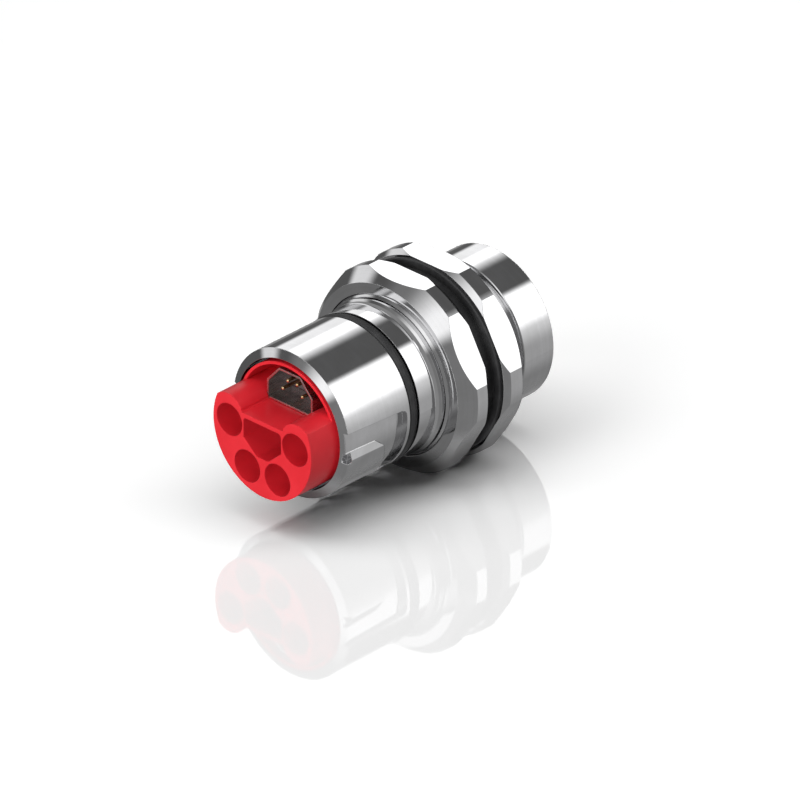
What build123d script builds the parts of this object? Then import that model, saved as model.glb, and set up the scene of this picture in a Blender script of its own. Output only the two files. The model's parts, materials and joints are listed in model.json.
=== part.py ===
from build123d import *
from math import cos, radians, sin
import os

# Panel-mounted power and data connector, size 23 shell.
# Millimetres. The plug's axis is Y, the mating face looks along -Y and the flats of both
# hexagons lie level, so that the plug rests on the lower ones.
# Y = 0 is the front face of the flange, where the panel seat is, and X = Z = 0 is the axis.

# Shell, front end
SHELL_R = 11.5
RIM_Y = -28.45
RIM_WALL = 1.35
RIM_CHAMFER_LENGTH = 0.58
MOUTH_DEPTH = 8.0
COLLAR_END_Y = -10.25
SHOULDER_RISE = 0.5
SHOULDER_LENGTH = 1.0

# Insert seat and contact stack inside the shell
MOUTH_GAP = 0.47
INSERT_CLEARANCE = 0.1
SEAT_SHOULDER_Y = -10.0
STACK_WALL = 1.0
STACK_CLEARANCE = 0.08
STACK_END_Y = -0.9

# Coupling track milled into both sides of the shell
TRACK_DEPTH = 0.55
TRACK_FRONT_ROUND = 0.5
CHANNEL_TOP_Z = 2.49
CHANNEL_WALL_Z = -0.61
CHANNEL_WALL_SLOPE = 16.0
CHANNEL_SKEW = 0.64
RAMP_START_Y = -22.0
RAMP_START_Z = -1.0
RAMP_KNEE_Y = -20.4
RAMP_KNEE_Z = -2.3
RAMP_END_Y = -19.0
RAMP_END_Z = -7.2
DETENT_Z = -7.9
LOCK_SLOT_FRONT_Y = -17.6
LOCK_SLOT_WIDTH = 1.65
LOCK_SLOT_DEPTH = 1.0
LOCK_SLOT_TOP_Z = 1.76
RIM_NOTCH_WIDTH = 1.5
RIM_NOTCH_DEPTH = 1.3
RIM_NOTCH_CUT = 0.95
RIM_NOTCH_ANGLE = 8.5

# Coupling seal, with a crowned face
SEAL_GROOVE_FRONT_Y = -15.35
SEAL_GROOVE_WIDTH = 1.95
SEAL_GROOVE_DEPTH = 1.15
SEAL_WIDTH = 1.75
SEAL_STAND = 0.12
SEAL_FLANK_DROP = 0.3
SEAL_FLANK_WIDTH = 0.4

# Panel thread, shown at its crest, and its lead-in
THREAD_STEP = 0.9
THREAD_CHAMFER = 0.4

# Hexagons of the flange and the nut, with turned corners
HEXAGON_WALL = 2.6
CORNER_RISE = 1.0
CORNER_CHAMFER_LENGTH = 0.88
FLAT_EDGE_MARGIN = 0.33
FLANGE_THICKNESS = 5.0
FLANGE_REAR_SETBACK = 0.7
FLANGE_REAR_CHAMFER_LENGTH = 1.7
NUT_FRONT_Y = -8.3
NUT_THICKNESS = 5.2
NUT_FRONT_SETBACK = 0.86
NUT_FRONT_CHAMFER_LENGTH = 2.25
NUT_THREAD_CLEARANCE = 0.06
NUT_COUNTERSINK = 0.35

# Panel gasket and its groove in the flange
GASKET_SETBACK = 0.1
GASKET_FLANGE_HEIGHT = 0.4
GASKET_LIP_WALL = 1.2
GASKET_LIP_HEIGHT = 2.75
GASKET_EDGE = 0.15
GASKET_SEAT_WIDTH = 1.8
GASKET_SEAT_DEPTH = 0.8
GASKET_CLEARANCE = 0.05

# Rear sleeve, screwed into the flange
SLEEVE_STEP = 0.71
SLEEVE_FRONT_Y = 7.95
SLEEVE_REAR_Y = 14.2
SLEEVE_THREAD_INSET = 1.16
SLEEVE_THREAD_CLEARANCE = 0.06
SLEEVE_NECK_RELIEF = 0.04
SLEEVE_WALL = 1.34
SLEEVE_SHOULDER_HEIGHT = 0.6
SLEEVE_SHOULDER_Y = 1.8
SLEEVE_NOSE_PLAY = 0.05
SLEEVE_EDGE = 0.15
SLEEVE_SEAL_Y = 3.2
SLEEVE_SEAL_WIDTH = 1.1
SLEEVE_SEAL_PLAY = 0.1
SLEEVE_SEAL_DEPTH = 0.8

# Clamp ring between the sleeve and the contact carrier
CLAMP_RING_THICKNESS = 1.2
CLAMP_RING_WIDTH = 1.12

# Contact insert
INSERT_FACE_Y = -33.8
INSERT_FLANGE_THICKNESS = 2.4
WALL_FRONT_Y = -28.6
WALL_THICKNESS = 0.45
RECESS_FLOOR_Y = -22.0
LEDGE_Z = 2.57
LEDGE_CORNER = 0.3
LOBE_SHIFT = 0.35
LOBE_Z = 1.55
LOBE_R = 3.08
LOBE_OVERLAP = 2.7

# Power cavities: two at the sides and two below, on one pitch circle
CAVITY_R = 2.54
CAVITY_WALL = 0.64
SIDE_CAVITY_ANGLE = 4.2
LOWER_CAVITY_ANGLE = 62.6
CAVITY_FLOOR_Y = -16.0
CONTACT_SHOULDER_Y = -14.5

# Keyed cavity of the protective earth contact
KEYED_TOP_Z = 1.9
KEYED_SIDE_WALL = 0.24
KEYED_SIDE_LOW_Z = -1.25
KEYED_BOTTOM_Z = -3.5
KEYED_BOTTOM_HALF_WIDTH = 1.15
KEYED_CORNER = 0.6
KEYED_LOW_CORNER = 0.9
EARTH_Z = -0.35

# Power and earth contacts
PIN_R = 1.0
EARTH_PIN_R = 1.25
PIN_TIP_Y = -25.5
EARTH_TIP_Y = -26.5
PIN_LEAD_IN = 0.6
CONTACT_SHOULDER_R = 1.8
CONTACT_SHOULDER_LENGTH = 2.0
CONTACT_BODY_R = 1.45
CONTACT_REAR_Y = 1.6
CRIMP_R = 1.65
CRIMP_LENGTH = 6.0
CRIMP_BORE_R = 1.1
CRIMP_BORE_DEPTH = 5.0
SIGHT_HOLE_R = 0.35
CONTACT_CLEARANCE = 0.05

# Contact carrier behind the insert
CARRIER_THICKNESS = 5.6
TAIL_WINDOW_R = 2.6
TAIL_WINDOW_Z = 5.5

# Data module
SHIELD_FRONT_Y = -28.15
SHIELD_REAR_Y = -6.0
SHIELD_WALL = 0.3
SHIELD_BOTTOM_Z = 2.66
SHIELD_HALF_WIDTH = 4.5
SHIELD_SIDE_TOP_Z = 5.6
SHIELD_TOP_MARGIN = 1.38
SHIELD_TOP_HALF_WIDTH = 2.1
SHIELD_CORNER = 0.35
SHIELD_CLEARANCE = 0.05
SOCKET_DEPTH = 4.6
DATA_PIN_R = 0.26
DATA_PIN_CLEARANCE = 0.02
DATA_PIN_TIP_Y = -27.73
DATA_PIN_LEAD_IN = 0.15
DATA_TAIL_R = 0.45
DATA_TAIL_LENGTH = 3.2
DATA_PIN_TOP_X = 0.93
DATA_PIN_TOP_Z = 6.4
DATA_PIN_LOW_X = 1.92
DATA_PIN_LOW_Z = 4.8

# Reach of the cutting solids past the surfaces that they cut
OVERCUT = 1.0

# Sizes that follow from those above
RIM_BORE_R = SHELL_R - RIM_WALL
INSERT_R = RIM_BORE_R - MOUTH_GAP
SEAT_BORE_R = INSERT_R + INSERT_CLEARANCE
STACK_BORE_R = SHELL_R - STACK_WALL
STACK_R = STACK_BORE_R - STACK_CLEARANCE
CLAMP_RING_BORE_R = STACK_R - CLAMP_RING_WIDTH
THREAD_R = SHELL_R + THREAD_STEP
SLEEVE_THREAD_R = THREAD_R - SLEEVE_THREAD_INSET
SLEEVE_R = SLEEVE_THREAD_R + SLEEVE_STEP
REAR_BORE_R = SLEEVE_THREAD_R + SLEEVE_THREAD_CLEARANCE
TRACK_FLOOR_R = SHELL_R - TRACK_DEPTH
LOCK_SLOT_FLOOR_R = SHELL_R - LOCK_SLOT_DEPTH
LOCK_SLOT_REAR_Y = LOCK_SLOT_FRONT_Y + LOCK_SLOT_WIDTH
SEAL_GROOVE_R = SHELL_R - SEAL_GROOVE_DEPTH
SHOULDER_R = SHELL_R + SHOULDER_RISE
FLAT_R = THREAD_R + HEXAGON_WALL
FLAT_EDGE_R = FLAT_R + FLAT_EDGE_MARGIN
CORNER_R = FLAT_R + CORNER_RISE
FLANGE_REAR_R = FLAT_R - FLANGE_REAR_SETBACK
NUT_FRONT_R = FLAT_R - NUT_FRONT_SETBACK
FLANGE_REAR_Y = FLANGE_THICKNESS
NUT_REAR_Y = NUT_FRONT_Y + NUT_THICKNESS
GASKET_OUTER_R = FLAT_R - GASKET_SETBACK
GASKET_INNER_R = THREAD_R + GASKET_CLEARANCE
GASKET_LIP_R = THREAD_R + GASKET_LIP_WALL
GASKET_SEAT_OUTER_R = THREAD_R + GASKET_SEAT_WIDTH
SLEEVE_NECK_R = SLEEVE_THREAD_R - SLEEVE_NECK_RELIEF
SLEEVE_BORE_R = SLEEVE_THREAD_R - SLEEVE_WALL
SLEEVE_SHOULDER_BORE_R = SLEEVE_BORE_R - SLEEVE_SHOULDER_HEIGHT
SLEEVE_SEAL_GROOVE_R = SLEEVE_THREAD_R - SLEEVE_SEAL_DEPTH
INSERT_REAR_Y = SEAT_SHOULDER_Y + INSERT_FLANGE_THICKNESS
CARRIER_REAR_Y = INSERT_REAR_Y + CARRIER_THICKNESS
CLAMP_RING_REAR_Y = CARRIER_REAR_Y + CLAMP_RING_THICKNESS
SLEEVE_NOSE_Y = CLAMP_RING_REAR_Y + SLEEVE_NOSE_PLAY
CAVITY_PITCH_R = INSERT_R - CAVITY_WALL - CAVITY_R
LOBE_X = CAVITY_PITCH_R + LOBE_SHIFT
LEDGE_HALF_WIDTH = LOBE_X - LOBE_OVERLAP
KEYED_HALF_WIDTH = CAVITY_PITCH_R - CAVITY_R - KEYED_SIDE_WALL
SHIELD_TOP_Z = INSERT_R - SHIELD_TOP_MARGIN

POWER_ANGLES = (
    180 - SIDE_CAVITY_ANGLE,
    180 + LOWER_CAVITY_ANGLE,
    360 - LOWER_CAVITY_ANGLE,
    SIDE_CAVITY_ANGLE,
)
DATA_PLACES = (
    (-DATA_PIN_TOP_X, DATA_PIN_TOP_Z),
    (DATA_PIN_TOP_X, DATA_PIN_TOP_Z),
    (-DATA_PIN_LOW_X, DATA_PIN_LOW_Z),
    (DATA_PIN_LOW_X, DATA_PIN_LOW_Z),
)


def turned(*points):
    """Solid of revolution about the Y axis from (radius, y) points."""
    return revolve(make_face(Polyline(*points, close=True)), Axis.Y)


def ring(inner_r, outer_r, front_y, rear_y):
    """Plain ring between two radii and two faces across the axis."""
    return turned((inner_r, front_y), (outer_r, front_y), (outer_r, rear_y), (inner_r, rear_y))


def along_axis(sketch, front_y, rear_y):
    """Prism of a sketch whose axes are X and Z, between two faces across the plug's axis."""
    return Pos(0, front_y, 0) * extrude(Plane.XZ * sketch, rear_y - front_y, dir=(0, 1, 0))


def rod(radius, front_y, rear_y, x=0, z=0):
    """Round bar along Y at (x, z)."""
    return along_axis(Pos(x, z) * Circle(radius), front_y, rear_y)


def power_place(angle):
    """Centre of a power cavity as (x, z)."""
    return CAVITY_PITCH_R * cos(radians(angle)), CAVITY_PITCH_R * sin(radians(angle))


def hexagon(front_y, rear_y, front_chamfer, rear_chamfer):
    """Hexagon with turned corners; a chamfer is its radius at the face and its length."""
    front_r, front_length = front_chamfer
    rear_r, rear_length = rear_chamfer
    blank = along_axis(RegularPolygon(FLAT_R, 6, major_radius=False), front_y, rear_y)
    envelope = turned(
        (0, front_y),
        (front_r, front_y),
        (CORNER_R, front_y + front_length),
        (CORNER_R, rear_y - rear_length),
        (rear_r, rear_y),
        (0, rear_y),
    )
    return blank & envelope


def shell_profile():
    """Turned outside of the shell from its rim to the panel thread, as one solid bar."""
    shoulder_end_y = COLLAR_END_Y + SHOULDER_LENGTH
    collar = Polyline(
        (0, RIM_Y),
        (RIM_BORE_R, RIM_Y),
        (SHELL_R, RIM_Y + RIM_CHAMFER_LENGTH),
        (SHELL_R, COLLAR_END_Y),
    )
    shoulder = TangentArc((SHELL_R, COLLAR_END_Y), (SHOULDER_R, shoulder_end_y), tangent=(0, 1))
    chamfer_y = NUT_FRONT_Y - THREAD_CHAMFER / 2
    thread = Polyline(
        (SHOULDER_R, shoulder_end_y),
        (SHOULDER_R, chamfer_y),
        (THREAD_R, chamfer_y + THREAD_CHAMFER),
        (THREAD_R, 0),
        (0, 0),
        (0, RIM_Y),
    )
    return revolve(make_face(Curve() + [collar, shoulder, thread]), Axis.Y)


def shell_bore():
    """Stepped bore: open mouth, insert seat, contact stack and the rear thread."""
    return turned(
        (0, RIM_Y - OVERCUT),
        (RIM_BORE_R, RIM_Y - OVERCUT),
        (RIM_BORE_R, RIM_Y + MOUTH_DEPTH),
        (SEAT_BORE_R, RIM_Y + MOUTH_DEPTH),
        (SEAT_BORE_R, SEAT_SHOULDER_Y),
        (STACK_BORE_R, SEAT_SHOULDER_Y),
        (STACK_BORE_R, STACK_END_Y),
        (REAR_BORE_R, STACK_END_Y),
        (REAR_BORE_R, FLANGE_REAR_Y + OVERCUT),
        (0, FLANGE_REAR_Y + OVERCUT),
    )


def track_floor():
    """Bar that the milled coupling track leaves standing, with a rounded front edge."""
    bar = rod(TRACK_FLOOR_R, RIM_Y, LOCK_SLOT_REAR_Y + OVERCUT)
    return fillet(bar.edges().filter_by(GeomType.CIRCLE).sort_by(Axis.Y)[0], TRACK_FRONT_ROUND)


def channel_section(shift):
    """Section of the entry channel in X and Z, lowered by shift: a sloped wall below."""
    outer_x = SHELL_R + OVERCUT
    rise = outer_x - TRACK_FLOOR_R
    slope_drop = rise / sin(radians(CHANNEL_WALL_SLOPE)) * cos(radians(CHANNEL_WALL_SLOPE))
    inner_x = TRACK_FLOOR_R - OVERCUT
    return Polygon(
        (inner_x, CHANNEL_WALL_Z - shift),
        (TRACK_FLOOR_R, CHANNEL_WALL_Z - shift),
        (outer_x, CHANNEL_WALL_Z - slope_drop - shift),
        (outer_x, CHANNEL_TOP_Z - shift),
        (inner_x, CHANNEL_TOP_Z - shift),
        align=None,
    )


def entry_channel():
    """Lead-in for a coupling lug, from the rim to the lock slot."""
    front = Pos(0, RIM_Y - OVERCUT, 0) * (Plane.XZ * channel_section(0))
    rear = Pos(0, LOCK_SLOT_REAR_Y - LOCK_SLOT_WIDTH / 2, 0) * (Plane.XZ * channel_section(CHANNEL_SKEW))
    return loft([front.face(), rear.face()], ruled=True)


def ramp_pocket():
    """Side-milled pocket whose front wall draws the lug back into the lock slot."""
    outline = Polyline(
        (RAMP_START_Y, RAMP_START_Z),
        (RAMP_KNEE_Y, RAMP_KNEE_Z),
        (RAMP_END_Y, RAMP_END_Z),
        (RAMP_END_Y, DETENT_Z),
        (LOCK_SLOT_FRONT_Y + OVERCUT / 2, DETENT_Z),
        (LOCK_SLOT_FRONT_Y + OVERCUT / 2, CHANNEL_TOP_Z - CHANNEL_SKEW),
        (RAMP_START_Y, 0),
        close=True,
    )
    return extrude(Plane.YZ * make_face(outline), SHELL_R + OVERCUT)


def lock_slot():
    """Deep slot round the underside of the shell, with ends as round as the cutter."""
    radius = LOCK_SLOT_WIDTH / 2
    middle_y = LOCK_SLOT_FRONT_Y + radius
    end_z = LOCK_SLOT_TOP_Z - radius
    reach = SHELL_R + OVERCUT
    lower = Pos(0, middle_y, end_z - reach) * Box(2 * reach, LOCK_SLOT_WIDTH, 2 * reach)
    ends = Pos(0, middle_y, end_z) * Rot(0, 90, 0) * Cylinder(radius, 2 * reach)
    return (lower + ends) & ring(LOCK_SLOT_FLOOR_R, reach, LOCK_SLOT_FRONT_Y, LOCK_SLOT_REAR_Y)


def rim_notches():
    """Small pocket in the rim at the foot of each channel wall."""
    notch = Box(RIM_NOTCH_CUT, 2 * RIM_NOTCH_DEPTH, RIM_NOTCH_WIDTH)
    right = Rot(0, RIM_NOTCH_ANGLE, 0) * Pos(SHELL_R - RIM_NOTCH_CUT / 2, RIM_Y, 0) * notch
    return right + mirror(right, Plane.YZ)


def coupling_track():
    """All that is milled out of the shell's front for the mating half's lugs."""
    right = (entry_channel() + ramp_pocket()) - track_floor()
    return right + mirror(right, Plane.YZ) + lock_slot() + rim_notches()


def build_housing():
    """Shell, seal groove, collar, panel thread and hexagonal flange: one turned piece."""
    front_chamfer = (FLAT_EDGE_R, CORNER_CHAMFER_LENGTH)
    rear_chamfer = (FLANGE_REAR_R, FLANGE_REAR_CHAMFER_LENGTH)
    flange = hexagon(0, FLANGE_REAR_Y, front_chamfer, rear_chamfer)
    seal_groove = ring(
        SEAL_GROOVE_R,
        SHELL_R + OVERCUT,
        SEAL_GROOVE_FRONT_Y,
        SEAL_GROOVE_FRONT_Y + SEAL_GROOVE_WIDTH,
    )
    gasket_seat = ring(THREAD_R, GASKET_SEAT_OUTER_R, -OVERCUT / 2, GASKET_SEAT_DEPTH)
    body = shell_profile() + flange
    return body - seal_groove - gasket_seat - coupling_track() - shell_bore()


def build_coupling_seal():
    """Rubber ring in the groove of the shell: a low crown between two bevelled flanks."""
    middle_y = SEAL_GROOVE_FRONT_Y + SEAL_GROOVE_WIDTH / 2
    front_y = middle_y - SEAL_WIDTH / 2
    rear_y = middle_y + SEAL_WIDTH / 2
    flank_r = SHELL_R - SEAL_FLANK_DROP
    return turned(
        (SEAL_GROOVE_R, front_y),
        (flank_r, front_y),
        (SHELL_R, front_y + SEAL_FLANK_WIDTH),
        (SHELL_R + SEAL_STAND, middle_y),
        (SHELL_R, rear_y - SEAL_FLANK_WIDTH),
        (flank_r, rear_y),
        (SEAL_GROOVE_R, rear_y),
    )


def build_panel_nut():
    """Hexagonal nut that clamps the panel, countersunk at both ends of its thread."""
    bore_r = THREAD_R + NUT_THREAD_CLEARANCE
    wide_r = bore_r + NUT_COUNTERSINK
    bore = turned(
        (0, NUT_FRONT_Y - OVERCUT),
        (bore_r, NUT_FRONT_Y - OVERCUT),
        (bore_r, NUT_REAR_Y - NUT_COUNTERSINK),
        (wide_r, NUT_REAR_Y),
        (wide_r, NUT_REAR_Y + OVERCUT),
        (0, NUT_REAR_Y + OVERCUT),
    )
    front_chamfer = (NUT_FRONT_R, NUT_FRONT_CHAMFER_LENGTH)
    rear_chamfer = (FLAT_EDGE_R, CORNER_CHAMFER_LENGTH)
    return hexagon(NUT_FRONT_Y, NUT_REAR_Y, front_chamfer, rear_chamfer) - bore


def build_panel_gasket():
    """Profiled rubber gasket: flange on the hexagon, lip in the panel hole, foot in a groove."""
    foot_r = GASKET_SEAT_OUTER_R - GASKET_CLEARANCE
    return turned(
        (GASKET_INNER_R, -GASKET_LIP_HEIGHT),
        (GASKET_LIP_R - GASKET_EDGE, -GASKET_LIP_HEIGHT),
        (GASKET_LIP_R, -GASKET_LIP_HEIGHT + GASKET_EDGE),
        (GASKET_LIP_R, -GASKET_FLANGE_HEIGHT),
        (GASKET_OUTER_R - GASKET_EDGE, -GASKET_FLANGE_HEIGHT),
        (GASKET_OUTER_R, -GASKET_FLANGE_HEIGHT + GASKET_EDGE),
        (GASKET_OUTER_R, 0),
        (foot_r, 0),
        (foot_r, GASKET_SEAT_DEPTH),
        (GASKET_INNER_R, GASKET_SEAT_DEPTH),
    )


def build_rear_sleeve():
    """Sleeve screwed into the flange: thread with a seal groove, relieved neck, plain end."""
    seal_front_y = SLEEVE_SEAL_Y - SLEEVE_SEAL_WIDTH / 2
    seal_rear_y = SLEEVE_SEAL_Y + SLEEVE_SEAL_WIDTH / 2
    return turned(
        (SLEEVE_SHOULDER_BORE_R, SLEEVE_NOSE_Y),
        (SLEEVE_THREAD_R - SLEEVE_EDGE, SLEEVE_NOSE_Y),
        (SLEEVE_THREAD_R, SLEEVE_NOSE_Y + SLEEVE_EDGE),
        (SLEEVE_THREAD_R, seal_front_y),
        (SLEEVE_SEAL_GROOVE_R, seal_front_y),
        (SLEEVE_SEAL_GROOVE_R, seal_rear_y),
        (SLEEVE_THREAD_R, seal_rear_y),
        (SLEEVE_THREAD_R, FLANGE_REAR_Y - SLEEVE_EDGE),
        (SLEEVE_NECK_R, FLANGE_REAR_Y - SLEEVE_EDGE),
        (SLEEVE_NECK_R, SLEEVE_FRONT_Y),
        (SLEEVE_R - SLEEVE_EDGE, SLEEVE_FRONT_Y),
        (SLEEVE_R, SLEEVE_FRONT_Y + SLEEVE_EDGE),
        (SLEEVE_R, SLEEVE_REAR_Y - SLEEVE_EDGE),
        (SLEEVE_R - SLEEVE_EDGE, SLEEVE_REAR_Y),
        (SLEEVE_BORE_R + SLEEVE_EDGE, SLEEVE_REAR_Y),
        (SLEEVE_BORE_R, SLEEVE_REAR_Y - SLEEVE_EDGE),
        (SLEEVE_BORE_R, SLEEVE_SHOULDER_Y),
        (SLEEVE_SHOULDER_BORE_R, SLEEVE_SHOULDER_Y),
    )


def build_sleeve_seal():
    """Square-cut rubber ring in the groove of the sleeve's thread."""
    half_width = SLEEVE_SEAL_WIDTH / 2 - SLEEVE_SEAL_PLAY
    front_y = SLEEVE_SEAL_Y - half_width
    return ring(SLEEVE_SEAL_GROOVE_R, SLEEVE_THREAD_R, front_y, SLEEVE_SEAL_Y + half_width)


def build_clamp_ring():
    """Flat ring through which the sleeve clamps the contact carrier."""
    return ring(CLAMP_RING_BORE_R, STACK_R, CARRIER_REAR_Y, CLAMP_RING_REAR_Y)


def keyed_outline():
    """Outline of the earth contact's cavity: flat top, sloped flanks, round bottom."""
    outline = Polygon(
        (-KEYED_HALF_WIDTH, KEYED_TOP_Z),
        (KEYED_HALF_WIDTH, KEYED_TOP_Z),
        (KEYED_HALF_WIDTH, KEYED_SIDE_LOW_Z),
        (KEYED_BOTTOM_HALF_WIDTH, KEYED_BOTTOM_Z),
        (-KEYED_BOTTOM_HALF_WIDTH, KEYED_BOTTOM_Z),
        (-KEYED_HALF_WIDTH, KEYED_SIDE_LOW_Z),
        align=None,
    )
    low_to_high = outline.vertices().sort_by(Axis.Y)
    rounded = fillet(low_to_high[:2], KEYED_LOW_CORNER)
    return fillet(rounded.vertices().sort_by(Axis.Y)[-2:], KEYED_CORNER)


def shield_outline(inset):
    """Outline of the data module, set in by a wall or out by a clearance."""
    outline = Polygon(
        (-SHIELD_HALF_WIDTH, SHIELD_BOTTOM_Z),
        (SHIELD_HALF_WIDTH, SHIELD_BOTTOM_Z),
        (SHIELD_HALF_WIDTH, SHIELD_SIDE_TOP_Z),
        (SHIELD_TOP_HALF_WIDTH, SHIELD_TOP_Z),
        (-SHIELD_TOP_HALF_WIDTH, SHIELD_TOP_Z),
        (-SHIELD_HALF_WIDTH, SHIELD_SIDE_TOP_Z),
        align=None,
    )
    rounded = fillet(outline.vertices(), SHIELD_CORNER)
    if inset == 0:
        return rounded
    return offset(rounded, -inset)


def insert_nose_section():
    """Section of the insert in front of the wall: ledge between two lobes over a round."""
    disc = Circle(INSERT_R)
    lower = Pos(0, LOBE_Z - INSERT_R) * Rectangle(2 * INSERT_R, 2 * INSERT_R)
    middle = Pos(0, (LOBE_Z + LEDGE_Z) / 2) * Rectangle(2 * LOBE_X, LEDGE_Z - LOBE_Z)
    outer = Pos(0, (LOBE_Z + LEDGE_Z) / 2) * Rectangle(2 * INSERT_R, LEDGE_Z - LOBE_Z)
    lobes = Pos(LOBE_X, LOBE_Z) * Circle(LOBE_R) + Pos(-LOBE_X, LOBE_Z) * Circle(LOBE_R)
    notch = Pos(0, LEDGE_Z + INSERT_R) * Rectangle(2 * LEDGE_HALF_WIDTH, 2 * INSERT_R)
    section = disc & ((lower + middle + outer + lobes) - notch)
    corners = section.vertices().filter_by(is_ledge_corner)
    return fillet(corners, LEDGE_CORNER)


def is_ledge_corner(vertex):
    """True for the inside corners between the insert's ledge and its lobes."""
    return abs(vertex.Y - LEDGE_Z) < 0.01 and abs(vertex.X) < LEDGE_HALF_WIDTH + 0.01


def build_contact_insert():
    """Moulded insert: long lower nose with five cavities, thin wall round the data module."""
    nose = along_axis(insert_nose_section(), INSERT_FACE_Y, RECESS_FLOOR_Y)
    wall = ring(INSERT_R - WALL_THICKNESS, INSERT_R, WALL_FRONT_Y, RECESS_FLOOR_Y)
    block = rod(INSERT_R, RECESS_FLOOR_Y, SEAT_SHOULDER_Y)
    flange = rod(STACK_R, SEAT_SHOULDER_Y, INSERT_REAR_Y)
    insert = nose + wall + block + flange
    for angle in POWER_ANGLES:
        insert -= contact_cavity(*power_place(angle), CAVITY_R)
    insert -= contact_passage(0, EARTH_Z, EARTH_PIN_R)
    insert -= along_axis(keyed_outline(), INSERT_FACE_Y - OVERCUT, CAVITY_FLOOR_Y)
    window = shield_outline(-SHIELD_CLEARANCE)
    return insert - along_axis(window, SHIELD_FRONT_Y - SHIELD_CLEARANCE, INSERT_REAR_Y + OVERCUT)


def contact_cavity(x, z, radius):
    """Touch-safe cavity with the passage of its contact behind."""
    return rod(radius, INSERT_FACE_Y - OVERCUT, CAVITY_FLOOR_Y, x, z) + contact_passage(x, z, PIN_R)


def contact_passage(x, z, pin_r):
    """Stepped hole of a contact: the pin through the web, its shoulder behind."""
    pin = rod(pin_r + CONTACT_CLEARANCE, CAVITY_FLOOR_Y - OVERCUT, CONTACT_SHOULDER_Y, x, z)
    rear = rod(CONTACT_SHOULDER_R + CONTACT_CLEARANCE, CONTACT_SHOULDER_Y, INSERT_REAR_Y + OVERCUT, x, z)
    return pin + rear


def build_rear_carrier():
    """Carrier disc that closes the insert and guides the crimp ends."""
    carrier = rod(STACK_R, INSERT_REAR_Y, CARRIER_REAR_Y)
    front_y = INSERT_REAR_Y - OVERCUT
    rear_y = CARRIER_REAR_Y + OVERCUT
    for angle in POWER_ANGLES:
        carrier -= rod(CRIMP_R + CONTACT_CLEARANCE, front_y, rear_y, *power_place(angle))
    carrier -= rod(CRIMP_R + CONTACT_CLEARANCE, front_y, rear_y, 0, EARTH_Z)
    carrier -= along_axis(shield_outline(-SHIELD_CLEARANCE), front_y, SHIELD_REAR_Y)
    return carrier - rod(TAIL_WINDOW_R, front_y, rear_y, 0, TAIL_WINDOW_Z)


def build_contact(x, z, pin_r, tip_y):
    """Turned crimp contact: pin with a lead-in, shoulder, body and barrel with a sight hole."""
    shoulder_rear_y = CONTACT_SHOULDER_Y + CONTACT_SHOULDER_LENGTH
    crimp_front_y = CONTACT_REAR_Y - CRIMP_LENGTH
    contact = rod(pin_r, tip_y, CONTACT_SHOULDER_Y, x, z)
    contact = chamfer(contact.edges().filter_by(GeomType.CIRCLE).sort_by(Axis.Y)[0], PIN_LEAD_IN)
    contact += rod(CONTACT_SHOULDER_R, CONTACT_SHOULDER_Y, shoulder_rear_y, x, z)
    contact += rod(CONTACT_BODY_R, shoulder_rear_y, crimp_front_y, x, z)
    contact += rod(CRIMP_R, crimp_front_y, CONTACT_REAR_Y, x, z)
    contact -= rod(CRIMP_BORE_R, CONTACT_REAR_Y - CRIMP_BORE_DEPTH, CONTACT_REAR_Y + OVERCUT, x, z)
    sight_y = CONTACT_REAR_Y - CRIMP_BORE_DEPTH + 2 * SIGHT_HOLE_R
    sight = Pos(x, sight_y, z + CRIMP_R / 2 + SIGHT_HOLE_R) * Cylinder(SIGHT_HOLE_R, CRIMP_R)
    return contact - sight


def build_data_shield():
    """Drawn metal shell of the data module, open at both ends."""
    outer = along_axis(shield_outline(0), SHIELD_FRONT_Y, SHIELD_REAR_Y)
    inner = along_axis(shield_outline(SHIELD_WALL), SHIELD_FRONT_Y - OVERCUT, SHIELD_REAR_Y + OVERCUT)
    return outer - inner


def build_data_insulator():
    """Dark block in the shield that holds the four data contacts."""
    front_y = SHIELD_FRONT_Y + SOCKET_DEPTH
    outline = shield_outline(SHIELD_WALL + SHIELD_CLEARANCE)
    insulator = along_axis(outline, front_y, SHIELD_REAR_Y)
    hole_r = DATA_PIN_R + DATA_PIN_CLEARANCE
    for x, z in DATA_PLACES:
        insulator -= rod(hole_r, front_y - OVERCUT, SHIELD_REAR_Y + OVERCUT, x, z)
    return insulator


def build_data_contact(x, z):
    """Thin data pin with a lead-in and a thicker crimp tail behind the insulator."""
    pin = rod(DATA_PIN_R, DATA_PIN_TIP_Y, SHIELD_REAR_Y, x, z)
    pin = chamfer(pin.edges().filter_by(GeomType.CIRCLE).sort_by(Axis.Y)[0], DATA_PIN_LEAD_IN)
    return pin + rod(DATA_TAIL_R, SHIELD_REAR_Y, SHIELD_REAR_Y + DATA_TAIL_LENGTH, x, z)


def build_all():
    """Every sub-part under its node's name."""
    parts = {
        "housing": build_housing(),
        "coupling_seal": build_coupling_seal(),
        "panel_nut": build_panel_nut(),
        "panel_gasket": build_panel_gasket(),
        "rear_sleeve": build_rear_sleeve(),
        "sleeve_seal": build_sleeve_seal(),
        "clamp_ring": build_clamp_ring(),
        "contact_insert": build_contact_insert(),
        "rear_carrier": build_rear_carrier(),
        "data_shield": build_data_shield(),
        "data_insulator": build_data_insulator(),
        "earth_contact": build_contact(0, EARTH_Z, EARTH_PIN_R, EARTH_TIP_Y),
    }
    for number, angle in enumerate(POWER_ANGLES, 1):
        parts[f"power_contact_{number}"] = build_contact(*power_place(angle), PIN_R, PIN_TIP_Y)
    for number, place in enumerate(DATA_PLACES, 1):
        parts[f"data_contact_{number}"] = build_data_contact(*place)
    return parts


os.makedirs("parts", exist_ok=True)
for name, solid in build_all().items():
    export_step(solid, f"parts/{name}.step")
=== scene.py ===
"""Looks of the panel-mounted circular connector plug: materials, light, floor and camera."""
import json
import math

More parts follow.
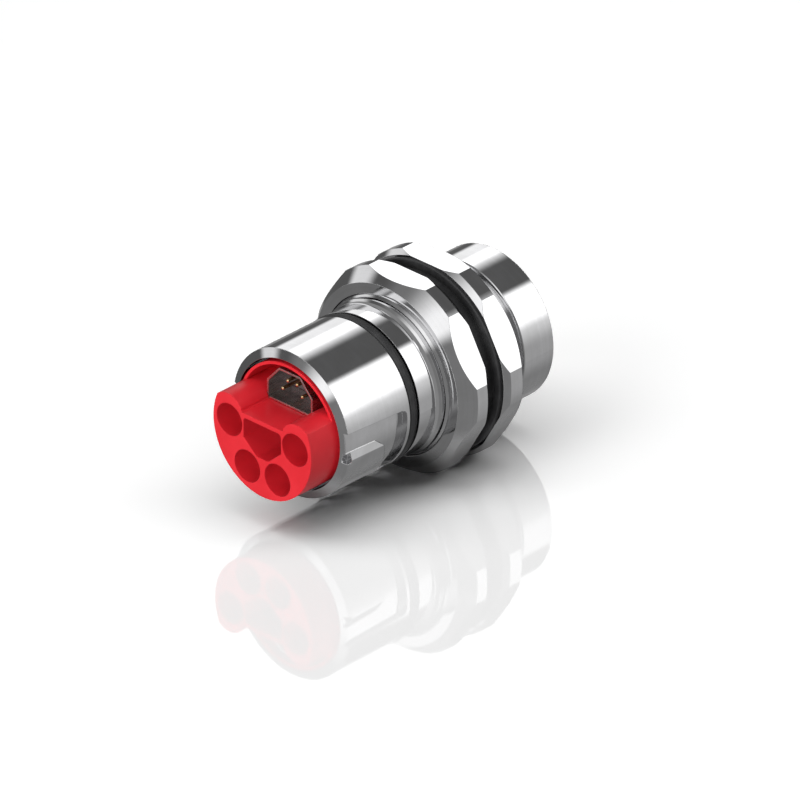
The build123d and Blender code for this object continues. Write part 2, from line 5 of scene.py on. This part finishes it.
import bpy
from mathutils import Matrix, Vector


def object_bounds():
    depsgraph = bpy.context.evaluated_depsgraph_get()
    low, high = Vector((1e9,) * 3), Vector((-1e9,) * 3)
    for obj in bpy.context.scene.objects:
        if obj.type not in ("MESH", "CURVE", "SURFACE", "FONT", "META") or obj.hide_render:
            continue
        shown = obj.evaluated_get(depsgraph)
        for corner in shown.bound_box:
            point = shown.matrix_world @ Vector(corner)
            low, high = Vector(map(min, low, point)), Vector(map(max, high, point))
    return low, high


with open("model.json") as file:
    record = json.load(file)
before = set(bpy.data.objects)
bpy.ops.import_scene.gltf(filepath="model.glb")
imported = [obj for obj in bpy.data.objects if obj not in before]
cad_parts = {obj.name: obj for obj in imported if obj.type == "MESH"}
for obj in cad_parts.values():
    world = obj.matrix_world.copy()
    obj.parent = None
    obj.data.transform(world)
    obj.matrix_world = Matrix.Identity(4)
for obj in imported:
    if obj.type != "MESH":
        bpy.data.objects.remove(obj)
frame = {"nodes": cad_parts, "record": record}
cad_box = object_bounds()

MM = 0.001
WHITE = (1.0, 1.0, 1.0, 1.0)

# Camera: solved from circles on the object in the photograph. The plug's origin lies CAMERA_ACROSS
# to the right of the picture's centre and CAMERA_HEIGHT above it.
CAMERA_RIGHT = Vector((0.7233, 0.6906, 0.0))
CAMERA_UP = Vector((-0.3360, 0.3520, 0.8736))
CAMERA_BACK = Vector((0.6033, -0.6318, 0.4866))
CAMERA_ACROSS = 3.827 * MM
CAMERA_HEIGHT = 6.483 * MM
CAMERA_DISTANCE = 1726.03 * MM
CAMERA_LENS = 540.0
CAMERA_SENSOR = 36.0
CAMERA_CLIP_START = 0.1
CAMERA_CLIP_END = 20.0

# Floor under the hexagons. The metal mirrors it in full up to FLOOR_NEAR, and past FLOOR_FAR it
# mirrors the studio as if there were no floor.
FLOOR_Z = cad_box[0][2]
FLOOR_RADIUS = 3.0
FLOOR_SIDES = 96
FLOOR_SEEN = 1.42
FLOOR_GRAIN_RISE = 0.01
FLOOR_GRAIN_SCALE = 60.0
FLOOR_IN_METAL = 0.70
FLOOR_NEAR = 6.0 * MM
FLOOR_FAR = 15.0 * MM
FLOOR_GLOSS = 0.145
FLOOR_ROUGHNESS = 0.03

# Soft lights: place and target in metres, width and depth in metres, power in watts
TOP_STRIP = ((0.06, -0.08, 1.2), (0.0, 0.0, 0.0), 3.6, 0.7, 18.5)
LEFT_KEY = ((-0.03, -1.41, 1.0), (0.0, 0.0, 0.0), 0.7, 0.7, 4.4)
FRONT_FILL = ((0.42, -1.04, 0.19), (0.0, -0.01, 0.0), 0.6, 0.6, 15.3)

# Studio that the metal mirrors. Seen along STUDIO_AXIS, a surface of the plug mirrors what the
# studio holds for the way that the surface faces: its turn round the plug's axis, in degrees,
# and its y along that axis. The camera sees plain WORLD_SEEN instead of the studio.
STUDIO_AXIS = (0.6033, -0.6318, 0.4866)
WORLD_SEEN = 1.0

# Light for the sides, the slopes and the rounded edges: the level of the wall round the plug, then
# for each soft box the turn where it begins, is full, starts to fall and ends, and its level
SIDE_LIGHT = (0.13, (
    (-176, -150, 49.5, 54, 0.15),
    (-53, -47, -41, -34, 0.14),
    (-16, 4, 49.5, 54, 0.20),
    (8, 28, 49.5, 54, 0.58),
    (22, 31, 47.5, 52.5, 0.95),
    (73.5, 84, 103, 108.5, 1.15),
    (80.5, 86, 91, 95, 0.75),
    (114, 128, 150, 176, 0.7),
))
SLOPE_LIGHT = (0.125, (
    (-120, -40, 80, 95, 0.13),
    (37.5, 47, 52, 78, 1.15),
    (99, 108.5, 117, 124, 0.87),
))
EDGE_LIGHT = (0.22, (
    (-20, 25, 118, 135, 1.5),
))
GAP_LEVEL = 0.33
FACE_LEVEL = 0.20
REAR_EDGE_LEVEL = 0.03
BACK_LEVEL = 0.35

# Zones that cover the light for the sides: the y where a zone begins and where it is full
GAP_ZONE = (-0.10, -0.16)
SLOPE_ZONE = (-0.50, -0.56)
EDGE_ZONE = (-0.74, -0.78)
STEEP_ZONE = (-0.84, -0.88)
FACE_ZONE = (-0.94, -0.985)
REAR_EDGE_ZONE = (0.04, 0.10)
BACK_ZONE = (0.50, 0.65)

# Surfaces seen almost edge-on mirror a plain level. The zone is in the length of STUDIO_AXIS plus
# the heading of the mirrored ray, which is 2 for a surface that squarely faces STUDIO_AXIS.
GRAZING_ZONE = (0.36, 0.22)
GRAZING_LEVEL = 0.34

# Share of the studio's light that reaches the floor and the plastic by way of the metal
BOUNCED_SHARE = 0.3

# What soft light finds of the plastic from further off, so that the floor isn't tinted by it
BOUNCE_NEAR = 5.0 * MM
BOUNCE_FAR = 8.0 * MM
BOUNCE_COLOUR = (0.10, 0.10, 0.10, 1.0)

# Edge softening that a real machined or moulded edge has
METAL_EDGE = 0.08 * MM
SMALL_EDGE = 0.08 * MM
SHEET_EDGE = 0.06 * MM
PLASTIC_EDGE = 0.14 * MM
RUBBER_EDGE = 0.10 * MM
EDGE_SAMPLES = 10

# Grain in features per metre, and the ranges of its noise over which a surface changes
CLOUD_RANGE = (0.35, 0.65)
LATHE_SLOPE = 1.31
TOOL_MARKS = 9000.0
TOOL_WAVES = 900.0
POLISH_CLOUDS = 260.0
POLISH_SPECKS = 2600.0
POLISH_RANGE = (0.35, 0.68)
SCRATCH_GRAIN = (5200.0, 260.0, 5200.0)
SCRATCH_RANGE = (0.70, 0.80)
SCRATCH_ROUGHNESS = 0.10
FLOW_CLOUDS = 190.0
MOULD_SKIN = 9000.0
ORANGE_PEEL = 900.0
BLOOM_PATCHES = 420.0
BLOOM_RANGE = (0.40, 0.72)
RUBBER_PITS = 6500.0
RUBBER_PIT_DEPTH = 0.006 * MM
RUBBER_POLISH_RANGE = (0.3, 1.5)
RUBBER_ROUGHNESS = (0.45, 0.62)
RUBBER_SPECULAR = 0.2
RUBBER_CLEAN = (0.028, 0.028, 0.029, 1.0)
RUBBER_DUSTY = (0.043, 0.043, 0.044, 1.0)
SHEET_CLOUDS = 500.0
SHEET_GRAIN = (9000.0, 500.0, 9000.0)
SHEET_GRAIN_DEPTH = 0.004 * MM
SHEET_RANGE = (0.3, 0.7)
SHEET_ROUGHNESS = (0.22, 0.38)
SHEET_DARK = (0.58, 0.57, 0.56, 1.0)
SHEET_LIGHT = (0.74, 0.73, 0.71, 1.0)

# Gold pins: painted shade that darkens the shafts behind the tips, deeper in the socket: the y where
# it starts, the y where it is full, and its colour there
GOLD_PAINTED_SHADE = (-27.4 * MM, -26.6 * MM, (0.48, 0.30, 0.17, 1.0))


class Graph:
    """A node tree with short calls for the nodes that this script uses."""

    def __init__(self, tree):
        self.tree = tree
        self.nodes = tree.nodes
        self.nodes.clear()

    def node(self, kind, **settings):
        made = self.nodes.new(kind)
        for name, value in settings.items():
            setattr(made, name, value)
        return made

    def link(self, source, target):
        self.tree.links.new(source, target)

    def feed(self, sockets, values):
        """Link each output to its socket, and set a socket to its value where that is plain."""
        for socket, value in zip(sockets, values):
            if isinstance(value, bpy.types.NodeSocket):
                self.link(value, socket)
            else:
                socket.default_value = value

    def fed(self, kind, *values, **settings):
        """A node whose first sockets get these values in order."""
        made = self.node(kind, **settings)
        self.feed(made.inputs, values)
        return made

    def math(self, operation, *values):
        return self.fed("ShaderNodeMath", *values, operation=operation).outputs[0]

    def add(self, first, second):
        return self.math("ADD", first, second)

    def times(self, first, second):
        return self.math("MULTIPLY", first, second)

    def weighted(self, first, *others):
        """The sum of (value, weight) pairs."""
        total = self.times(*first)
        for pair in others:
            total = self.add(total, self.times(*pair))
        return total

    def vector(self, operation, *values):
        return self.fed("ShaderNodeVectorMath", *values, operation=operation).outputs[0]

    def length(self, vector):
        return self.fed("ShaderNodeVectorMath", vector, operation="LENGTH").outputs["Value"]

    def split(self, vector):
        return self.fed("ShaderNodeSeparateXYZ", vector).outputs

    def step(self, value, low, high, start=0.0, end=1.0):
        """A smooth change from start to end while the value goes from low to high."""
        made = self.node("ShaderNodeMapRange", interpolation_type="SMOOTHSTEP")
        self.link(value, made.inputs["Value"])
        made.inputs["From Min"].default_value = low
        made.inputs["From Max"].default_value = high
        made.inputs["To Min"].default_value = start
        made.inputs["To Max"].default_value = end
        return made.outputs["Result"]

    def noise(self, coordinates, scale, detail=3.0, roughness=0.55, dimensions="3D"):
        made = self.node("ShaderNodeTexNoise", noise_dimensions=dimensions)
        socket = "W" if dimensions == "1D" else "Vector"
        self.link(coordinates, made.inputs[socket])
        made.inputs["Scale"].default_value = scale
        made.inputs["Detail"].default_value = detail
        made.inputs["Roughness"].default_value = roughness
        return made.outputs["Fac"]

    def mix(self, factor, first, second):
        """Plain numbers mixed by a factor. The mix node takes numbers at its inputs 2 and 3."""
        made = self.node("ShaderNodeMix", data_type="FLOAT")
        self.feed((made.inputs[0], made.inputs[2], made.inputs[3]), (factor, first, second))
        return made.outputs[0]

    def mix_colour(self, factor, first, second):
        """Colours mixed by a factor. The mix node takes colours at its inputs 6 and 7."""
        made = self.node("ShaderNodeMix", data_type="RGBA")
        self.feed((made.inputs[0], made.inputs[6], made.inputs[7]), (factor, first, second))
        return made.outputs[2]

    def mix_shader(self, factor, first, second):
        return self.fed("ShaderNodeMixShader", factor, first, second).outputs[0]

    def diffuse(self, colour):
        return self.fed("ShaderNodeBsdfDiffuse", colour).outputs[0]

    def background(self, level):
        return self.fed("ShaderNodeBackground", WHITE, level).outputs[0]

    def relief(self, height, depth, edge):
        """Fine relief on a surface whose edges are softened by a radius."""
        softened = self.node("ShaderNodeBevel", samples=EDGE_SAMPLES)
        softened.inputs["Radius"].default_value = edge
        made = self.node("ShaderNodeBump")
        made.inputs["Strength"].default_value = 1.0
        made.inputs["Distance"].default_value = depth
        self.link(height, made.inputs["Height"])
        self.link(softened.outputs[0], made.inputs["Normal"])
        return made.outputs[0]

    def place(self):
        """Coordinates in metres in the part's own frame."""
        return self.node("ShaderNodeTexCoord").outputs["Object"]

    def light_path(self):
        return self.node("ShaderNodeLightPath").outputs


def grey(level):
    return (level, level, level, 1.0)


def new_material(name):
    material = bpy.data.materials.new(name)
    material.use_nodes = True
    return material, Graph(material.node_tree)


def start_material(name):
    """A material with one principled shader: the material, its graph and the shader's sockets."""
    material, graph = new_material(name)
    shader = graph.node("ShaderNodeBsdfPrincipled")
    graph.link(shader.outputs[0], graph.node("ShaderNodeOutputMaterial").inputs["Surface"])
    return material, graph, shader.inputs


def turning_place(graph, place):
    """A coordinate that grows along the cut of a lathe: along Y plus away from the axis."""
    x, y, z = graph.split(place)
    outward = graph.math("SQRT", graph.add(graph.times(x, x), graph.times(z, z)))
    return graph.add(y, graph.times(outward, LATHE_SLOPE))


def turned_metal(name, light, dark, smooth, rough, marks, edge, painted_shade=None):
    """Turned and plated metal: fine tool marks, cloudy polish, faint scratches.

    Painted shade darkens the plating along Y: painted_shade gives the y where that starts, the y
    where it is full, and the colour of the painted shade.
    """
    material, graph, shader = start_material(name)
    place = graph.place()
    along = turning_place(graph, place)
    fine = graph.noise(along, TOOL_MARKS, detail=2.0, roughness=0.6, dimensions="1D")
    coarse = graph.noise(along, TOOL_WAVES, detail=3.0, roughness=0.6, dimensions="1D")
    clouds = graph.noise(place, POLISH_CLOUDS, detail=4.0)
    specks = graph.noise(place, POLISH_SPECKS, detail=2.0)
    scratch_place = graph.vector("MULTIPLY", place, SCRATCH_GRAIN)
    scratches = graph.step(graph.noise(scratch_place, 1.0, detail=1.0), *SCRATCH_RANGE)
    shader["Metallic"].default_value = 1.0
    tint = graph.weighted((clouds, 0.7), (coarse, 0.3))
    colour = graph.mix_colour(graph.step(tint, *CLOUD_RANGE), dark, light)
    # Painted shade: the colour darkens along Y behind the pin tips, where the socket shades the
    # shafts
    if painted_shade is not None:
        shade_from, shade_full, shade_colour = painted_shade
        shaded_share = graph.step(graph.split(place)[1], shade_from, shade_full)
        colour = graph.mix_colour(shaded_share, colour, shade_colour)
    graph.link(colour, shader["Base Color"])
    wear = graph.weighted((clouds, 0.55), (specks, 0.45))
    polish = graph.step(wear, *POLISH_RANGE, smooth, rough)
    scratched = graph.add(polish, graph.times(scratches, SCRATCH_ROUGHNESS))
    graph.link(scratched, shader["Roughness"])
    height = graph.weighted((fine, 0.55), (coarse, 1.6), (scratches, -0.25))
    graph.link(graph.relief(height, marks, edge), shader["Normal"])
    return material


def moulded_plastic(name, light, dark, smooth, rough, grain, edge, specular=0.5):
    """Moulded plastic: slight flow clouds, a fine spark-eroded skin, soft edges."""
    material, graph, shader = start_material(name)
    place = graph.place()
    clouds = graph.noise(place, FLOW_CLOUDS)
    skin = graph.noise(place, MOULD_SKIN, roughness=0.6)
    orange_peel = graph.noise(place, ORANGE_PEEL, detail=2.0)
    colour = graph.mix_colour(graph.step(clouds, *CLOUD_RANGE), dark, light)
    path = graph.light_path()
    distant = graph.step(path["Ray Length"], BOUNCE_NEAR, BOUNCE_FAR)
    thrown = graph.times(path["Is Diffuse Ray"], distant)
    graph.link(graph.mix_colour(thrown, colour, BOUNCE_COLOUR), shader["Base Color"])
    polish = graph.weighted((clouds, 0.5), (skin, 0.5))
    graph.link(graph.step(polish, *CLOUD_RANGE, smooth, rough), shader["Roughness"])
    shader["Specular IOR Level"].default_value = specular
    height = graph.add(graph.times(skin, 0.5), orange_peel)
    graph.link(graph.relief(height, grain, edge), shader["Normal"])
    return material


def black_rubber(name):
    """Moulded rubber: dark, slightly glossy, with a dusty bloom in patches."""
    material, graph, shader = start_material(name)
    place = graph.place()
    bloom = graph.step(graph.noise(place, BLOOM_PATCHES, detail=5.0, roughness=0.6), *BLOOM_RANGE)
    pits = graph.noise(place, RUBBER_PITS, roughness=0.65)
    graph.link(graph.mix_colour(bloom, RUBBER_CLEAN, RUBBER_DUSTY), shader["Base Color"])
    polish = graph.step(graph.add(bloom, pits), *RUBBER_POLISH_RANGE, *RUBBER_ROUGHNESS)
    graph.link(polish, shader["Roughness"])
    shader["Specular IOR Level"].default_value = RUBBER_SPECULAR
    graph.link(graph.relief(pits, RUBBER_PIT_DEPTH, RUBBER_EDGE), shader["Normal"])
    return material


def brushed_sheet(name):
    """Rolled and bent stainless sheet: fine grain along Y, satin."""
    material, graph, shader = start_material(name)
    place = graph.place()
    grain_place = graph.vector("MULTIPLY", place, SHEET_GRAIN)
    grain = graph.noise(grain_place, 1.0, roughness=0.6)
    clouds = graph.noise(place, SHEET_CLOUDS)
    shader["Metallic"].default_value = 1.0
    colour = graph.mix_colour(graph.step(clouds, *SHEET_RANGE), SHEET_DARK, SHEET_LIGHT)
    graph.link(colour, shader["Base Color"])
    graph.link(graph.step(grain, *SHEET_RANGE, *SHEET_ROUGHNESS), shader["Roughness"])
    graph.link(graph.relief(grain, SHEET_GRAIN_DEPTH, SHEET_EDGE), shader["Normal"])
    return material


def make_platings():
    return {
        "plated_metal": turned_metal(
            "bright_plating",
            light=(0.66, 0.66, 0.67, 1.0),
            dark=(0.60, 0.60, 0.605, 1.0),
            smooth=0.025,
            rough=0.075,
            marks=0.0010 * MM,
            edge=METAL_EDGE,
        ),
        "contact_silver": turned_metal(
            "silver_plating",
            light=(0.80, 0.78, 0.74, 1.0),
            dark=(0.66, 0.63, 0.58, 1.0),
            smooth=0.16,
            rough=0.30,
            marks=0.004 * MM,
            edge=SMALL_EDGE,
        ),
        "contact_gold": turned_metal(
            "gold_plating",
            light=(1.00, 0.76, 0.42, 1.0),
            dark=(0.90, 0.62, 0.27, 1.0),
            smooth=0.16,
            rough=0.28,
            marks=0.003 * MM,
            edge=SMALL_EDGE,
            # painted shade on the pin shafts deeper in the socket
            painted_shade=GOLD_PAINTED_SHADE,
        ),
    }


def make_mouldings():
    return {
        "insert_plastic": moulded_plastic(
            "red_moulding",
            light=(0.64, 0.016, 0.026, 1.0),
            dark=(0.60, 0.013, 0.022, 1.0),
            smooth=0.34,
            rough=0.46,
            grain=0.006 * MM,
            edge=PLASTIC_EDGE,
            specular=0.4,
        ),
        "carrier_plastic": moulded_plastic(
            "black_moulding",
            light=(0.040, 0.040, 0.044, 1.0),
            dark=(0.028, 0.028, 0.031, 1.0),
            smooth=0.34,
            rough=0.50,
            grain=0.008 * MM,
            edge=PLASTIC_EDGE,
        ),
        "data_plastic": moulded_plastic(
            "dark_moulding",
            light=(0.105, 0.080, 0.081, 1.0),
            dark=(0.084, 0.064, 0.065, 1.0),
            smooth=0.36,
            rough=0.50,
            grain=0.006 * MM,
            edge=SMALL_EDGE,
        ),
    }


def make_materials():
    """The material for each slot of the record."""
    return {
        **make_platings(),
        **make_mouldings(),
        "rubber": black_rubber("black_rubber"),
        "shield_metal": brushed_sheet("brushed_shield"),
    }


def dress_nodes(materials):
    """Give every CAD node the detailed material of its record slot."""
    slots = {item["node"]: item["material_slot"] for item in frame["record"]["subparts"]}
    for name, node in frame["nodes"].items():
        for place in node.material_slots:
            place.material = materials[slots[name]]


def light_round(graph, turn, light):
    """Level of the studio round the plug's axis: the wall plus every soft box."""
    level, boxes = light
    for begin, full, falling, end, strength in boxes:
        rise = graph.step(turn, begin, full, 0.0, strength)
        fall = graph.step(turn, falling, end, 1.0, 0.0)
        level = graph.add(level, graph.times(rise, fall))
    return level


def studio_level(graph):
    """Level of the studio where a mirrored ray meets it. Later zones cover earlier ones."""
    heading = graph.node("ShaderNodeTexCoord").outputs["Generated"]
    total = graph.vector("ADD", heading, STUDIO_AXIS)
    x, y, z = graph.split(graph.vector("NORMALIZE", total))
    turn = graph.math("DEGREES", graph.math("ARCTAN2", z, x))
    slopes = light_round(graph, turn, SLOPE_LIGHT)
    edges = light_round(graph, turn, EDGE_LIGHT)
    zones = (
        (GAP_ZONE, GAP_LEVEL),
        (SLOPE_ZONE, slopes),
        (EDGE_ZONE, edges),
        (STEEP_ZONE, slopes),
        (FACE_ZONE, FACE_LEVEL),
        (REAR_EDGE_ZONE, REAR_EDGE_LEVEL),
        (BACK_ZONE, BACK_LEVEL),
    )
    level = light_round(graph, turn, SIDE_LIGHT)
    for zone, zone_level in zones:
        level = graph.mix(graph.step(y, *zone), level, zone_level)
    grazing = graph.step(graph.length(total), *GRAZING_ZONE)
    return graph.mix(grazing, level, GRAZING_LEVEL)


def build_world():
    """A soft light tent that only the metal mirrors; what the camera sees of it is white."""
    world = bpy.data.worlds.new("studio")
    bpy.context.scene.world = world
    world.use_nodes = True
    world.cycles_visibility.diffuse = False
    graph = Graph(world.node_tree)
    path = graph.light_path()
    bounced = graph.math("MINIMUM", path["Diffuse Depth"], 1.0)
    level = graph.times(studio_level(graph), graph.mix(bounced, 1.0, BOUNCED_SHARE))
    studio = graph.background(level)
    plain = graph.background(WORLD_SEEN)
    seen = graph.mix_shader(path["Is Camera Ray"], studio, plain)
    graph.link(seen, graph.node("ShaderNodeOutputWorld").inputs["Surface"])


def soft_light(name, place, target, width, depth, power):
    """A soft box that lights plastic, rubber and floor; the metal mirrors the world instead."""
    data = bpy.data.lights.new(name, "AREA")
    data.shape = "RECTANGLE"
    data.size = width
    data.size_y = depth
    data.energy = power
    light = bpy.data.objects.new(name, data)
    bpy.context.scene.collection.objects.link(light)
    back = (Vector(place) - Vector(target)).normalized()
    up = back.cross(CAMERA_RIGHT).normalized()
    turned = Matrix((up.cross(back), up, back)).transposed()
    light.matrix_world = Matrix.Translation(place) @ turned.to_4x4()
    light.visible_glossy = False
    light.visible_camera = False
    return light


def build_lights():
    """A long strip overhead for the broad shadows at both sides, a key, and a fill for the front.

    The fill lights the plug only, so that the floor keeps its shadows.
    """
    soft_light("top_strip", *TOP_STRIP)
    soft_light("left_key", *LEFT_KEY)
    front = soft_light("front_fill", *FRONT_FILL)
    lit = bpy.data.collections.new("lit_from_the_front")
    for node in frame["nodes"].values():
        lit.objects.link(node)
    front.light_linking.receiver_collection = lit


def floor_material():
    """Pale floor: for the camera with a faint mirror image, for the metal plain and only nearby."""
    material, graph = new_material("pale_floor")
    path = graph.light_path()
    is_seen = path["Is Camera Ray"]
    grain = graph.noise(graph.place(), FLOOR_GRAIN_SCALE)
    seen = graph.mix_colour(grain, grey(FLOOR_SEEN), grey(FLOOR_SEEN + FLOOR_GRAIN_RISE))
    matt = graph.mix_shader(is_seen, graph.diffuse(grey(FLOOR_IN_METAL)), graph.diffuse(seen))
    gloss = graph.node("ShaderNodeBsdfGlossy")
    gloss.inputs["Roughness"].default_value = FLOOR_ROUGHNESS
    near = graph.mix_shader(graph.times(is_seen, FLOOR_GLOSS), matt, gloss.outputs[0])
    clear = graph.node("ShaderNodeBsdfTransparent").outputs[0]
    far = graph.step(path["Ray Length"], FLOOR_NEAR, FLOOR_FAR)
    surface = graph.mix_shader(graph.times(path["Is Glossy Ray"], far), near, clear)
    graph.link(surface, graph.node("ShaderNodeOutputMaterial").inputs["Surface"])
    return material


def build_floor():
    mesh = bpy.data.meshes.new("floor")
    corners = []
    for index in range(FLOOR_SIDES):
        angle = 2.0 * math.pi * index / FLOOR_SIDES
        corners.append((FLOOR_RADIUS * math.cos(angle), FLOOR_RADIUS * math.sin(angle), FLOOR_Z))
    mesh.from_pydata(corners, [], [tuple(range(FLOOR_SIDES))])
    floor = bpy.data.objects.new("floor", mesh)
    bpy.context.scene.collection.objects.link(floor)
    mesh.materials.append(floor_material())


def build_camera():
    data = bpy.data.cameras.new("camera")
    data.lens = CAMERA_LENS
    data.sensor_width = CAMERA_SENSOR
    data.sensor_fit = "HORIZONTAL"
    data.clip_start = CAMERA_CLIP_START
    data.clip_end = CAMERA_CLIP_END
    camera = bpy.data.objects.new("camera", data)
    bpy.context.scene.collection.objects.link(camera)
    centre = CAMERA_BACK * CAMERA_DISTANCE - CAMERA_RIGHT * CAMERA_ACROSS - CAMERA_UP * CAMERA_HEIGHT
    turned = Matrix((CAMERA_RIGHT, CAMERA_UP, CAMERA_BACK)).transposed()
    camera.matrix_world = Matrix.Translation(centre) @ turned.to_4x4()
    bpy.context.scene.camera = camera


def set_view():
    view = bpy.context.scene.view_settings
    view.view_transform = "Standard"
    view.look = "None"
    view.exposure = 0.0
    view.gamma = 1.0


dress_nodes(make_materials())
build_world()
build_lights()
build_floor()
build_camera()
set_view()
